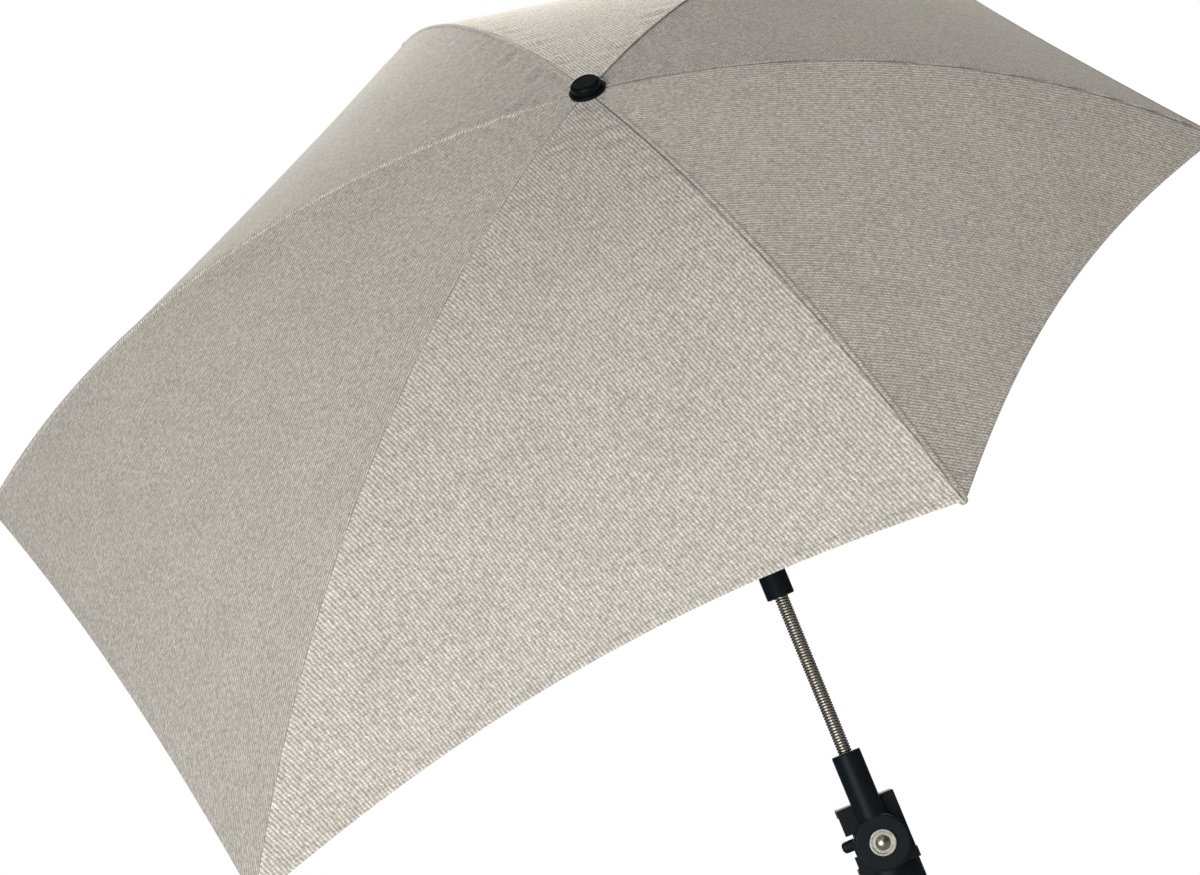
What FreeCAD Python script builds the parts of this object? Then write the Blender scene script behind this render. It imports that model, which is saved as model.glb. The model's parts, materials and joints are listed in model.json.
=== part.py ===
# Pram parasol: a tube clamp, a bendable neck, a tilting mast and a folding six rib canopy.
# Millimetres. Origin at the middle of the clamped pram tube, lower mast along +Z,
# the pivot side of the clamp towards -Y. The rest pose is open, with the canopy tilted to -Y.
import FreeCAD, Part
import math
import os

V = FreeCAD.Vector
X_AXIS = V(1, 0, 0)
Y_AXIS = V(0, 1, 0)
Z_AXIS = V(0, 0, 1)
ORIGIN = V(0, 0, 0)

# Clearances
fit = 0.05
slide_fit = 0.15
body_gap = 0.3
cut_overrun = 40.0

# Clamp body and the tube that it is set to
tube_radius = 10.0
tube_clearance = 3.0
clamp_width = 36.0
clamp_back_reach = 12.0
front_wall = 8.0
top_wall = 5.0
floor_wall = 4.5
clamp_corner = 0.8
throat_below_tube = 21.0
ridge_length = 4.5
ridge_width = 0.8
ridge_height = 0.6
ridge_spacing = 2.0
ridge_inset = 2.0
ridge_drop = 6.8
band_line_above_pivot = 17.9
band_line_width = 0.6
band_line_depth = 0.4
skirt_proud = 0.7
skirt_below_pivot = 9.8

# Jaws, screw and knob
pad_lip = 3.0
pad_seat = 1.5
pad_width = 30.0
jaw_thickness = 3.0
screw_radius = 4.0
screw_reach = 9.0
knob_radius = 18.2
knob_height = 18.0
knob_floor = 2.0
knob_edge = 6.5
knob_flutes = 12
flute_radius = 2.2
flute_depth = 0.9
flute_drop = 9.5
neck_radius = 7.0
clip_radius = 9.0
clip_thickness = 1.5
clip_recess = 2.0
clip_groove = 0.6

# Arm pivot on the front of the clamp
pivot_above_floor = 16.0
washer_radius = 12.0
washer_thickness = 1.0
arm_radius = 8.8
disc_radius = 16.7
disc_edge = 1.6
arm_top_above_pivot = 55.9
arm_top_edge = 1.0
rivet_shank_radius = 4.0
rivet_rim_radius = 7.9
rivet_rim_thickness = 2.0
rivet_ring_width = 1.6
rivet_groove_depth = 1.1
rivet_dome_radius = 4.4
rivet_dome_height = 2.0
nut_radius = 6.5
nut_thickness = 3.5
nut_recess = 4.0
nut_sides = 6
rim_round_share = 0.15

# Arm lock button in a notch on the left of the clamp
notch_depth = 4.0
notch_top_above_pivot = 10.1
notch_bottom_below_pivot = 3.0
lock_above_pivot = 4.3
lock_height = 7.0
lock_width = 5.6
lock_edge = 2.6
lock_proud = 4.7
lock_seat = 2.0
lock_pocket = 6.0
lock_spring_radius = 1.3
lock_spring_wire = 0.4
lock_spring_turns = 3

# Bendable neck
neck_length = 98.6
neck_socket = 5.0
core_socket = 12.0
coil_end_room = 0.3
coil_radius = 3.95
coil_wire = 1.28
coil_turns = 62
core_gap = 0.15

# Tilt knuckle
collar_radius = 8.45
collar_edge = 0.8
tilt_pivot_above_collar = 42.5
fork_slot = 8.4
tongue_radius = 8.0
tilt_pin_radius = 2.0
canopy_tilt = 42.2
cup_start = 9.2
cup_end = 26.0
cup_radius = 7.5
cup_floor = 2.8
tilt_button_below_pivot = 20.5
tilt_button_radius = 3.0
tilt_button_length = 4.5
tilt_button_proud = 1.4
tilt_button_edge = 0.8
tilt_pocket_depth = 6.4
tilt_spring_radius = 1.9
tilt_spring_wire = 0.45
tilt_spring_turns = 3

# Mast and runner
mast_radius = 5.0
mast_wall = 0.8
hub_above_tilt_pivot = 317.4
runner_above_tilt_pivot = 197.4
runner_radius = 9.0
runner_below_crown = 18.0
runner_collar_above = 6.0
crown_radius = 14.0
crown_height = 8.0
crown_core_radius = 9.2
slot_width = 2.4
catch_radius = 2.3
catch_length = 3.0
catch_proud = 1.2
catch_below_crown = 11.0
catch_angle = 256.0
catch_pocket = 2.9
catch_edge = 0.5

# Top notch and cap
notch_radius = 13.0
notch_core_radius = 6.4
notch_height = 9.0
wire_ring_radius = 9.0
wire_radius = 0.6
wire_fit = 0.1
wire_below_hub = 5.0
flange_radius = 10.15
flange_thickness = 1.6
flange_round_share = 0.4
cap_radius = 8.3
cap_height = 4.4
cap_edge = 1.6
cap_stem_length = 14.0

# Ribs and stretchers
rib_count = 6
first_rib_angle = 225.0
long_ribs = (1, 6)
side_ribs = (2, 5)
long_rib_length = 470.0
short_rib_length = 342.0
long_rib_bend = 613.0
side_rib_bend = 578.0
back_rib_bend = 452.0
rib_radius = 1.5
root_blade_thickness = 1.8
root_blade_height = 4.4
root_blade_end = 18.5
rod_start = 16.0
tip_radius = 2.1
tip_length = 10.0
tip_cover = 6.0
joint_along_rib = 135.0
joint_sleeve_radius = 2.0
joint_sleeve_length = 12.0
joint_drop = 5.0
ear_thickness = 1.2
ear_below_pin = 2.2
joint_pin_radius = 0.9
stretcher_radius = 1.2
stretcher_blade = 1.4
stretcher_blade_height = 3.0
stretcher_blade_length = 9.0
crown_pin_radius = 11.0

# Canopy cloth
cloth_thickness = 1.0
cloth_clearance = 0.5
cloth_inner_radius = 9.5
cloth_side_gap = 0.2
tip_half_width = 5.0
hem_middle_share = 0.965
body_sections = 14
hem_section_shares = (0.0, 0.2, 0.4, 0.6, 0.8, 1.0)

# Heights and depths worked out from the sizes above
throat_top = tube_radius + pad_seat
clamp_top = throat_top + top_wall
clamp_bottom = -throat_below_tube - floor_wall
wall_inner_y = -tube_radius - tube_clearance
wall_outer_y = wall_inner_y - front_wall
pivot_z = clamp_bottom + pivot_above_floor
arm_y = wall_outer_y - washer_thickness - body_gap - arm_radius
arm_top = pivot_z + arm_top_above_pivot
collar_bottom = arm_top + neck_length
tilt_z = collar_bottom + tilt_pivot_above_collar
cloth_lift = tip_radius + cloth_clearance
rib_axis_top = hub_above_tilt_pivot - cloth_thickness - cloth_lift
wire_z = hub_above_tilt_pivot - wire_below_hub
rib_step = 360.0 / rib_count


def cylinder(radius, length, base, direction):
    return Part.makeCylinder(radius, length, base, direction)


def block(low, high):
    size = high - low
    return Part.makeBox(size.x, size.y, size.z, low)


def round_block(low, high, direction, radius):
    """A box whose edges along one direction are rounded."""
    solid = block(low, high)
    edges = [e for e in solid.Edges if abs(e.tangentAt(e.FirstParameter).dot(direction)) > 1 / 2]
    return solid.makeFillet(radius, edges)


def turned(profile, axis_point, direction):
    """A solid turned from a closed outline of points about an axis."""
    wire = Part.makePolygon(list(profile) + [profile[0]])
    return Part.Face(wire).revolve(axis_point, direction, 360)


def round_edges(solid, radius, keep):
    """Round the edges whose middle passes the test keep."""
    edges = [e for e in solid.Edges if keep(e.CenterOfMass)]
    return solid.makeFillet(radius, edges)


def arc_between(start, corner, end):
    """A circular edge from start to end, tangent to the lines through corner."""
    middle = (start + end) * (1 / 2)
    half_turn = (corner - start).getAngle(end - start)
    share = math.cos(half_turn) / (1 + math.cos(half_turn))
    return Part.Arc(start, middle + (corner - middle) * share, end).toShape()


def coil(radius, wire, length, turns):
    """A wound wire along +Z from the origin, with a straight run at each end, and its least gap."""
    mean = radius - wire / 2
    half_turns = 2 * turns
    rise = (length - wire) / turns

    def point(turn):
        angle = 2 * math.pi * turn
        return V(mean * math.cos(angle), mean * math.sin(angle), wire / 2 + rise * turn)

    def heading(turn):
        angle = 2 * math.pi * turn
        return V(-mean * math.sin(angle), mean * math.cos(angle), rise / (2 * math.pi)).normalize()

    edges = []
    run_start = point(0) - heading(0) * wire
    edges.append(Part.LineSegment(run_start, point(0)).toShape())
    for step in range(half_turns):
        start, end = point(step / 2), point((step + 1) / 2)
        go, come = heading(step / 2), heading((step + 1) / 2)
        chord = end - start
        spread = 2 * (1 - go.dot(come))
        along = chord.dot(go + come)
        reach = (math.sqrt(along ** 2 + spread * chord.dot(chord)) - along) / spread
        first_corner, second_corner = start + go * reach, end - come * reach
        joint = (first_corner + second_corner) * (1 / 2)
        edges.append(arc_between(start, first_corner, joint))
        edges.append(arc_between(joint, second_corner, end))
    run_end = point(turns) + heading(turns) * wire
    edges.append(Part.LineSegment(point(turns), run_end).toShape())
    path = Part.Wire(edges)
    section = Part.Wire(Part.makeCircle(wire / 2, run_start, heading(0)))
    solid = path.makePipeShell([section], True, False)
    samples = 24
    turn_points = [point(k / samples) for k in range(samples + 1)]
    next_points = [point(1 + k / samples) for k in range(-samples // 2, samples + samples // 2 + 1)]
    least = min(a.distanceToPoint(b) for a in turn_points for b in next_points
                if b.z - a.z > rise / 2) - wire
    print("coil of", turns, "turns, least gap to itself", round(least, 3))
    return solid


def place_on_mast(shape):
    """Move a shape from the mast's own frame, with its zero at the tilt pivot, to the part's frame."""
    shape = shape.copy()
    shape.rotate(ORIGIN, X_AXIS, canopy_tilt)
    shape.translate(V(0, arm_y, tilt_z))
    return shape


def save(name, shape):
    shape.exportStep("parts/" + name + ".step")


# Clamp
def clamp_body():
    half = clamp_width / 2
    body = round_block(V(-half, wall_outer_y, clamp_bottom), V(half, clamp_back_reach, clamp_top),
                       Y_AXIS, clamp_corner)
    throat = block(V(-half - cut_overrun, wall_inner_y, -throat_below_tube),
                   V(half + cut_overrun, clamp_back_reach + cut_overrun, throat_top))
    skirt_half = half + skirt_proud
    skirt = block(V(-skirt_half, wall_outer_y, clamp_bottom),
                  V(skirt_half, clamp_back_reach, pivot_z - skirt_below_pivot))
    band_line = block(V(-half, wall_outer_y, pivot_z + band_line_above_pivot - band_line_width / 2),
                      V(half, wall_outer_y + band_line_depth,
                        pivot_z + band_line_above_pivot + band_line_width / 2))
    body = body.fuse(skirt).cut(throat).cut(band_line)
    hole = cylinder(neck_radius + fit, floor_wall + 2 * cut_overrun,
                    V(0, 0, clamp_bottom - cut_overrun), Z_AXIS)
    floor_hole = hole.common(block(V(-half, wall_inner_y, clamp_bottom - cut_overrun),
                                   V(half, clamp_back_reach, -throat_below_tube + fit)))
    recess = cylinder(clip_radius + body_gap, clip_recess + fit,
                      V(0, 0, -throat_below_tube - clip_recess), Z_AXIS)
    body = body.cut(floor_hole).cut(recess)
    body = body.cut(cylinder(rivet_shank_radius, front_wall, V(0, wall_outer_y, pivot_z), Y_AXIS))
    body = body.cut(nut_prism(nut_radius + fit, nut_recess, wall_inner_y - nut_recess))
    notch = block(V(-half - cut_overrun, wall_outer_y - cut_overrun, pivot_z - notch_bottom_below_pivot),
                  V(-half + notch_depth, wall_inner_y + cut_overrun, pivot_z + notch_top_above_pivot))
    pocket_half = V(0, lock_width / 2 + slide_fit, lock_height / 2 + slide_fit)
    pocket_start = V(-half + notch_depth - slide_fit, lock_y(), lock_z())
    pocket_end = V(-half + notch_depth + lock_pocket, lock_y(), lock_z())
    body = body.cut(notch).cut(block(pocket_start - pocket_half, pocket_end + pocket_half))
    for ridge in range(2):
        low = V(half - ridge_inset - ridge_length, wall_outer_y - ridge_height,
                clamp_top - ridge_drop - ridge * ridge_spacing)
        body = body.fuse(block(low, low + V(ridge_length, ridge_height, ridge_width)))
    return body.removeSplitter()


def lock_y():
    return (wall_inner_y + wall_outer_y) / 2


def lock_z():
    return pivot_z + lock_above_pivot


def nut_prism(radius, thickness, start_y):
    corners = []
    for side in range(nut_sides + 1):
        angle = 2 * math.pi * side / nut_sides
        corners.append(V(radius * math.cos(angle), start_y, pivot_z + radius * math.sin(angle)))
    return Part.Face(Part.makePolygon(corners)).extrude(V(0, thickness, 0))


def jaw_pad(base_z, direction):
    """A rubber pad on a jaw, hollowed to the tube, standing from base_z along direction."""
    low_z, high_z = sorted((base_z, base_z + direction * pad_lip))
    half = pad_width / 2
    pad = block(V(-half, wall_inner_y + body_gap, low_z), V(half, clamp_back_reach, high_z))
    tube = cylinder(tube_radius, pad_width + 2 * cut_overrun, V(-half - cut_overrun, 0, 0), X_AXIS)
    return pad.cut(tube)


def moving_jaw():
    half = pad_width / 2
    top = -tube_radius - pad_seat
    return round_block(V(-half, wall_inner_y + body_gap, top - jaw_thickness),
                       V(half, clamp_back_reach, top), Z_AXIS, clamp_corner)


def clamp_screw():
    top = -tube_radius - pad_seat - jaw_thickness
    low = clamp_bottom - screw_reach
    return cylinder(screw_radius, top - low, V(0, 0, low), Z_AXIS)


def clamp_knob():
    top = clamp_bottom - body_gap
    grip = cylinder(knob_radius, knob_height, V(0, 0, top - knob_height), Z_AXIS)
    grip = round_edges(grip, knob_edge, lambda c: c.z < top - knob_height / 2)
    for flute in range(knob_flutes):
        angle = 2 * math.pi * (flute + 1 / 2) / knob_flutes
        reach = knob_radius + flute_radius - flute_depth
        centre = V(reach * math.cos(angle), reach * math.sin(angle), top - knob_height - cut_overrun)
        grip = grip.cut(cylinder(flute_radius, knob_height - flute_drop + cut_overrun, centre, Z_AXIS))
    neck_top = -throat_below_tube - body_gap
    neck = cylinder(neck_radius, neck_top - top, V(0, 0, top), Z_AXIS)
    bore_depth = neck_top - top + knob_height - knob_floor
    bore = cylinder(screw_radius + fit, bore_depth + cut_overrun, V(0, 0, neck_top - bore_depth), Z_AXIS)
    groove = clip_ring(neck_radius - clip_groove)
    return grip.fuse(neck).cut(bore).cut(groove)


def clip_ring(inner):
    base = V(0, 0, -throat_below_tube - clip_recess + (clip_recess - clip_thickness) / 2)
    ring = cylinder(clip_radius, clip_thickness, base, Z_AXIS)
    return ring.cut(cylinder(inner, clip_thickness, base, Z_AXIS))


# Arm pivot
def friction_washer():
    base = V(0, wall_outer_y - washer_thickness, pivot_z)
    disc = cylinder(washer_radius, washer_thickness, base, Y_AXIS)
    return disc.cut(cylinder(rivet_shank_radius, washer_thickness, base, Y_AXIS))


def socket_arm():
    centre = V(0, arm_y, pivot_z)
    disc = cylinder(disc_radius, 2 * arm_radius, centre - V(0, arm_radius, 0), Y_AXIS)
    disc = disc.makeFillet(disc_edge, disc.Edges)
    stem = cylinder(arm_radius, arm_top_above_pivot, centre, Z_AXIS)
    stem = round_edges(stem, arm_top_edge, lambda c: c.z > arm_top - arm_radius)
    arm = disc.fuse(stem)
    arm = arm.cut(cylinder(rivet_shank_radius + fit, 2 * arm_radius, centre - V(0, arm_radius, 0), Y_AXIS))
    arm = arm.cut(coil_bore(arm_top, -1))
    bore = cylinder(core_radius() + fit, core_socket, V(0, arm_y, arm_top - core_socket), Z_AXIS)
    return arm.cut(bore).removeSplitter()


def arm_rivet():
    seat = arm_y - arm_radius - body_gap
    face = seat - rivet_rim_thickness
    ring_inner = rivet_rim_radius - rivet_ring_width
    outline = [V(0, face, 0), V(rivet_dome_radius, face, 0),
               V(rivet_dome_radius, face + rivet_groove_depth, 0), V(ring_inner, face + rivet_groove_depth, 0),
               V(ring_inner, face, 0), V(rivet_rim_radius, face, 0), V(rivet_rim_radius, seat, 0),
               V(rivet_shank_radius, seat, 0), V(rivet_shank_radius, wall_inner_y - body_gap, 0),
               V(0, wall_inner_y - body_gap, 0)]
    rivet = turned(outline, ORIGIN, Y_AXIS)
    rivet = round_edges(rivet, rivet_rim_thickness * rim_round_share,
                        lambda c: abs(c.y - face) < fit and c.x ** 2 + c.z ** 2 < fit)
    ball_radius = (rivet_dome_radius ** 2 + rivet_dome_height ** 2) / (2 * rivet_dome_height)
    ball = Part.makeSphere(ball_radius, V(0, face - rivet_dome_height + ball_radius, 0))
    dome = ball.common(block(V(-ball_radius, face - rivet_dome_height, -ball_radius),
                             V(ball_radius, face, ball_radius)))
    rivet = rivet.fuse(dome)
    rivet.translate(V(0, 0, pivot_z))
    return rivet


def rivet_nut():
    nut = nut_prism(nut_radius, nut_thickness, wall_inner_y - nut_recess)
    return nut.cut(cylinder(rivet_shank_radius, nut_recess, V(0, wall_inner_y - nut_recess, pivot_z), Y_AXIS))


def lock_button():
    outer = -clamp_width / 2 - lock_proud
    inner = -clamp_width / 2 + notch_depth + lock_seat
    half = V(0, lock_width / 2, lock_height / 2)
    middle = V(0, lock_y(), lock_z())
    button = block(V(outer, 0, 0) + middle - half, V(inner, 0, 0) + middle + half)
    return round_edges(button, lock_edge, lambda c: c.x < inner - fit)


def lock_spring():
    start = -clamp_width / 2 + notch_depth + lock_seat
    length = lock_pocket - lock_seat
    spring = coil(lock_spring_radius, lock_spring_wire, length, lock_spring_turns)
    spring.rotate(ORIGIN, Y_AXIS, 90)
    spring.translate(V(start, lock_y(), lock_z()))
    return spring


# Bendable neck
def core_radius():
    return coil_radius - coil_wire - core_gap


def coil_bore(mouth_z, direction):
    """The bore for one end of the wound wire, wide enough for the straight run at that end."""
    run_reach = math.hypot(coil_radius - coil_wire / 2, coil_wire) + coil_wire / 2
    depth = neck_socket + coil_end_room
    return cylinder(run_reach + fit, depth, V(0, arm_y, mouth_z), V(0, 0, direction))


def gooseneck_coil():
    wound = coil(coil_radius, coil_wire, neck_length + 2 * neck_socket, coil_turns)
    wound.translate(V(0, arm_y, arm_top - neck_socket))
    return wound


def gooseneck_core():
    return cylinder(core_radius(), neck_length + 2 * core_socket, V(0, arm_y, arm_top - core_socket), Z_AXIS)


# Tilt knuckle
def tilt_collar():
    base = V(0, arm_y, collar_bottom)
    collar = cylinder(collar_radius, tilt_pivot_above_collar, base, Z_AXIS)
    collar = round_edges(collar, collar_edge, lambda c: c.z < collar_bottom + fit)
    head = cylinder(collar_radius, 2 * collar_radius, V(-collar_radius, arm_y, tilt_z), X_AXIS)
    head = head.common(cylinder(collar_radius, 2 * collar_radius, V(0, arm_y, tilt_z - collar_radius), Z_AXIS))
    collar = collar.fuse(head).removeSplitter()
    slot = block(V(-fork_slot / 2, arm_y - collar_radius - cut_overrun, tilt_z - tongue_radius - body_gap),
                 V(fork_slot / 2, arm_y + collar_radius + cut_overrun, tilt_z + collar_radius + cut_overrun))
    collar = collar.cut(slot)
    collar = collar.cut(cylinder(tilt_pin_radius, 2 * collar_radius, V(-collar_radius, arm_y, tilt_z), X_AXIS))
    collar = collar.cut(coil_bore(collar_bottom, 1))
    collar = collar.cut(cylinder(core_radius() + fit, core_socket, base, Z_AXIS))
    pocket = cylinder(tilt_button_radius + fit, tilt_pocket_depth + cut_overrun,
                      V(0, tilt_pocket_y(), tilt_button_z()), Y_AXIS)
    return collar.cut(pocket)


def tilt_button_z():
    return tilt_z - tilt_button_below_pivot


def tilt_pocket_y():
    return arm_y + collar_radius - tilt_pocket_depth


def tilt_pin():
    length = 2 * math.sqrt(collar_radius ** 2 - tilt_pin_radius ** 2)
    return cylinder(tilt_pin_radius, length, V(-length / 2, arm_y, tilt_z), X_AXIS)


def tilt_button():
    outer = arm_y + collar_radius + tilt_button_proud
    base = V(0, outer - tilt_button_length, tilt_button_z())
    button = cylinder(tilt_button_radius, tilt_button_length, base, Y_AXIS)
    return round_edges(button, tilt_button_edge, lambda c: c.y > outer - fit)


def tilt_spring():
    length = tilt_pocket_depth + tilt_button_proud - tilt_button_length
    spring = coil(tilt_spring_radius, tilt_spring_wire, length, tilt_spring_turns)
    spring.rotate(ORIGIN, X_AXIS, -90)
    spring.translate(V(0, tilt_pocket_y(), tilt_button_z()))
    return spring


def upper_knuckle():
    tongue_half = fork_slot / 2 - body_gap
    tongue = cylinder(tongue_radius, 2 * tongue_half, V(-tongue_half, 0, 0), X_AXIS)
    web = block(V(-tongue_half, -cup_radius, 0), V(tongue_half, cup_radius, cup_start))
    web = web.common(cylinder(cup_radius, cup_start, ORIGIN, Z_AXIS))
    cup = cylinder(cup_radius, cup_end - cup_start, V(0, 0, cup_start), Z_AXIS)
    cup = round_edges(cup, collar_edge, lambda c: abs(c.z - cup_end) < fit or abs(c.z - cup_start) < fit)
    knuckle = tongue.fuse(web).fuse(cup).removeSplitter()
    knuckle = knuckle.cut(cylinder(tilt_pin_radius + fit, 2 * tongue_half, V(-tongue_half, 0, 0), X_AXIS))
    socket = cylinder(mast_radius, cup_end - cup_start, V(0, 0, cup_start + cup_floor), Z_AXIS)
    return place_on_mast(knuckle.cut(socket))


# Mast
def mast_top():
    return hub_above_tilt_pivot - cloth_thickness - body_gap


def mast_tube():
    start = V(0, 0, cup_start + cup_floor)
    length = mast_top() - start.z
    bore = cylinder(mast_radius - mast_wall, length, start, Z_AXIS)
    return place_on_mast(cylinder(mast_radius, length, start, Z_AXIS).cut(bore))


def slotted_crown(radius, core, height, base_z):
    """A crown with one radial slot for each rib, open at the rim, top and bottom."""
    crown = cylinder(radius, height, V(0, 0, base_z), Z_AXIS)
    for number in range(1, rib_count + 1):
        slot = block(V(core, -slot_width / 2, base_z - cut_overrun),
                     V(radius + cut_overrun, slot_width / 2, base_z + height + cut_overrun))
        slot.rotate(ORIGIN, Z_AXIS, rib_angle(number))
        crown = crown.cut(slot)
    return crown


def runner():
    crown = slotted_crown(crown_radius, crown_core_radius, crown_height,
                          runner_above_tilt_pivot - crown_height / 2)
    low = runner_above_tilt_pivot - runner_below_crown
    high = runner_above_tilt_pivot + runner_collar_above
    sleeve = cylinder(runner_radius, high - low, V(0, 0, low), Z_AXIS)
    sleeve = round_edges(sleeve, collar_edge, lambda c: abs(c.z - low) < fit or abs(c.z - high) < fit)
    body = crown.fuse(sleeve).removeSplitter()
    body = body.cut(cylinder(mast_radius + fit, high - low, V(0, 0, low), Z_AXIS))
    pocket_floor = V(runner_radius - catch_pocket, 0, 0)
    pocket = cylinder(catch_radius + fit, catch_pocket + cut_overrun, pocket_floor, X_AXIS)
    return place_on_mast(body.cut(turn_catch(pocket)))


def turn_catch(shape):
    shape.translate(V(0, 0, runner_above_tilt_pivot - catch_below_crown))
    shape.rotate(ORIGIN, Z_AXIS, catch_angle)
    return shape


def runner_catch():
    outer = runner_radius + catch_proud
    button = cylinder(catch_radius, catch_length, V(outer - catch_length, 0, 0), X_AXIS)
    button = round_edges(button, catch_edge, lambda c: c.x > outer - fit)
    return place_on_mast(turn_catch(button))


def wire_loop(radius):
    return Part.makeTorus(wire_ring_radius, radius, V(0, 0, wire_z), Z_AXIS)


def top_notch():
    base = mast_top() - notch_height
    notch = slotted_crown(notch_radius, notch_core_radius, notch_height, base)
    notch = notch.cut(cylinder(mast_radius, notch_height, V(0, 0, base), Z_AXIS))
    return place_on_mast(notch.cut(wire_loop(wire_radius)))


def pivot_wire():
    return place_on_mast(wire_loop(wire_radius))


def flange_bottom():
    return hub_above_tilt_pivot + body_gap


def cap_flange():
    base = V(0, 0, flange_bottom())
    disc = cylinder(flange_radius, flange_thickness, base, Z_AXIS)
    disc = round_edges(disc, flange_thickness * flange_round_share,
                       lambda c: c.z > flange_bottom() + flange_thickness - fit)
    return place_on_mast(disc.cut(cylinder(mast_radius - mast_wall, flange_thickness, base, Z_AXIS)))


def ferrule_cap():
    seat = flange_bottom() + flange_thickness
    cap = cylinder(cap_radius, cap_height, V(0, 0, seat), Z_AXIS)
    cap = round_edges(cap, cap_edge, lambda c: c.z > seat + cap_height - fit)
    stem = cylinder(mast_radius - mast_wall, cap_stem_length, V(0, 0, seat - cap_stem_length), Z_AXIS)
    return place_on_mast(cap.fuse(stem).removeSplitter())


# Ribs, in the plane of +X and +Z of the mast's own frame
def rib_angle(number):
    return first_rib_angle + rib_step * (number - 1)


def rib_length(number):
    return long_rib_length if number in long_ribs else short_rib_length


def rib_bend(number):
    if number in long_ribs:
        return long_rib_bend
    return side_rib_bend if number in side_ribs else back_rib_bend


def rib_point(number, along, lift=0):
    """The point at a length along a rib, lifted square to it."""
    bend = rib_bend(number)
    angle = along / bend
    return V((bend + lift) * math.sin(angle), 0, rib_axis_top - bend + (bend + lift) * math.cos(angle))


def rib_heading(number, along):
    angle = along / rib_bend(number)
    return V(math.cos(angle), 0, -math.sin(angle))


def rib_square(number, along):
    angle = along / rib_bend(number)
    return V(math.sin(angle), 0, math.cos(angle))


def place_rib(shape, number):
    shape = shape.copy()
    shape.rotate(ORIGIN, Z_AXIS, rib_angle(number))
    return place_on_mast(shape)


def rib_rod(number, radius, start, end):
    """A round rod bent along a rib from one length to another."""
    circle = Part.makeCircle(radius, rib_point(number, start), rib_heading(number, start))
    section = Part.Face(Part.Wire(circle))
    centre = V(0, 0, rib_axis_top - rib_bend(number))
    return section.revolve(centre, Y_AXIS, math.degrees((end - start) / rib_bend(number)))


def flat_bar(start, end, half_height, half_thickness):
    """A flat bar with round ends in the rib plane."""
    along = (end - start).normalize()
    across = V(-along.z, 0, along.x) * half_height
    side = V(0, half_thickness, 0)
    outline = Part.Wire([
        Part.LineSegment(start - across - side, end - across - side).toShape(),
        Part.Arc(end - across - side, end + along * half_height - side, end + across - side).toShape(),
        Part.LineSegment(end + across - side, start + across - side).toShape(),
        Part.Arc(start + across - side, start - along * half_height - side, start - across - side).toShape()])
    return Part.Face(outline).extrude(side * 2)


def rib(number):
    rod = rib_rod(number, rib_radius, rod_start, rib_length(number) - tip_length + tip_cover)
    pivot = V(wire_ring_radius, 0, wire_z)
    end = rib_point(number, root_blade_end)
    blade = flat_bar(pivot, end, root_blade_height / 2, root_blade_thickness / 2)
    blade = blade.cut(cylinder(wire_radius + wire_fit, slot_width * 2, pivot - V(0, slot_width, 0), Y_AXIS))
    return place_rib(rod.fuse(blade).removeSplitter(), number)


def rib_tip(number):
    end = rib_length(number)
    start = end - tip_length
    heading = rib_heading(number, start)
    cap = cylinder(tip_radius, tip_length - tip_radius, rib_point(number, start), heading)
    cap = cap.fuse(Part.makeSphere(tip_radius, rib_point(number, start) + heading * (tip_length - tip_radius)))
    rod = rib_rod(number, rib_radius, rod_start, start + tip_cover)
    return place_rib(cap.removeSplitter().cut(rod), number)


def joint_pivot(number):
    return rib_point(number, joint_along_rib, -joint_drop)


def crown_pivot():
    return V(crown_pin_radius, 0, runner_above_tilt_pivot)


def rib_joint(number):
    heading = rib_heading(number, joint_along_rib)
    middle = rib_point(number, joint_along_rib)
    start = middle - heading * (joint_sleeve_length / 2)
    sleeve = cylinder(joint_sleeve_radius, joint_sleeve_length, start, heading)
    pivot = joint_pivot(number)
    square = rib_square(number, joint_along_rib)
    slot_half = stretcher_blade / 2 + slide_fit
    for side in (-1, 1):
        ear = flat_bar(pivot, middle - square * rib_radius, ear_below_pin, ear_thickness / 2)
        ear.translate(V(0, side * (slot_half + ear_thickness / 2), 0))
        sleeve = sleeve.fuse(ear)
    pin_half = slot_half + ear_thickness
    sleeve = sleeve.fuse(cylinder(joint_pin_radius, 2 * pin_half, pivot - V(0, pin_half, 0), Y_AXIS))
    span = joint_sleeve_length
    rod = rib_rod(number, rib_radius, joint_along_rib - span, joint_along_rib + span)
    return place_rib(sleeve.cut(rod).removeSplitter(), number)


def stretcher(number):
    outer, inner = joint_pivot(number), crown_pivot()
    along = (outer - inner).normalize()
    half_height = stretcher_blade_height / 2
    inner_end = inner + along * stretcher_blade_length
    outer_start = outer - along * stretcher_blade_length
    rod = cylinder(stretcher_radius, (outer_start - inner_end).Length, inner_end, along)
    body = rod.fuse(flat_bar(inner, inner_end, half_height, root_blade_thickness / 2))
    body = body.fuse(flat_bar(outer_start, outer, half_height, stretcher_blade / 2))
    hole = cylinder(joint_pin_radius + fit, slot_width * 2, outer - V(0, slot_width, 0), Y_AXIS)
    return place_rib(body.removeSplitter().cut(hole), number)


# Canopy cloth: each piece is the cloth on both sides of one rib, up to the middle of the next gores
def cloth_point(number, share):
    """The underside of the cloth over a rib at a share of its length, in the mast's own frame."""
    inner = cloth_inner_radius / rib_length(number)
    point = rib_point(number, max(share, inner) * rib_length(number), cloth_lift)
    angle = math.radians(rib_angle(number))
    return V(point.x * math.cos(angle), point.x * math.sin(angle), point.z)


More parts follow.
